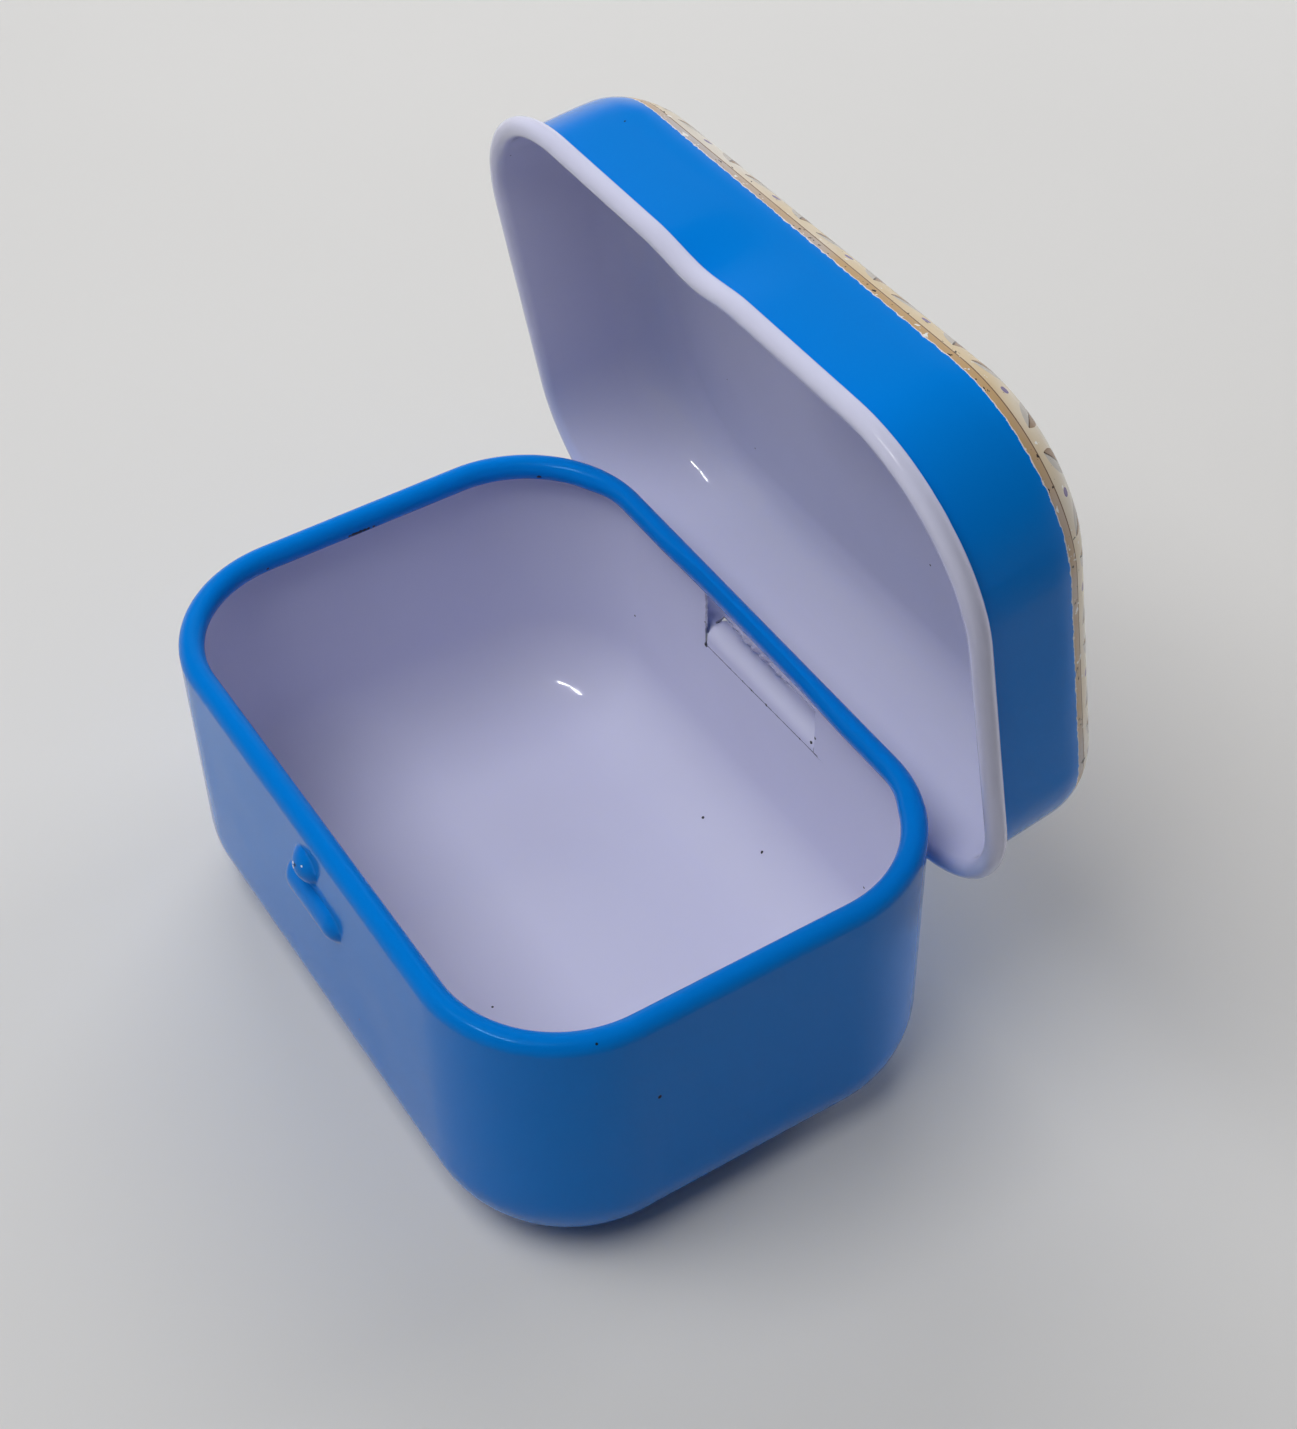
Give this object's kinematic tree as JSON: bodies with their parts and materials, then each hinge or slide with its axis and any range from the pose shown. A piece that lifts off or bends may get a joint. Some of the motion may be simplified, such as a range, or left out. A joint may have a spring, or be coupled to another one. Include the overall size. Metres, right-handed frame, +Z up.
{
  "type": "hinged tin box",
  "caption": "Small hinged tin with rounded corners, curled rims, a snap catch and thumb dent at the front, and a lid that swings on a curled tongue at the back.",
  "frame": {"origin": "centre of the flat underside of the base, on the surface it stands on", "axes": "+Z up, +X along the long side, -Y towards the front wall with the catch, the hinge on the +Y side; the lid stands open on its stop"},
  "size_m": [0.072, 0.0608, 0.0713],
  "materials": {
    "outer_lacquer": "glossy blue lacquer on tinplate",
    "inner_lacquer": "glossy white lacquer on tinplate"
  },
  "bodies": {
    "base": {"base_shell": "outer_lacquer", "base_rim_curl": "outer_lacquer", "hinge_tongue": "inner_lacquer"},
    "lid": {"lid_shell": "outer_lacquer", "lid_rim_curl": "inner_lacquer"}
  },
  "joints": [
    {"name": "lid_hinge", "type": "hinge", "parent": "base", "child": "lid", "pos_m": [0, 0.02465, 0.02029], "axis": [1, 0, 0], "range_deg": [0, 80.7]}
  ]
}
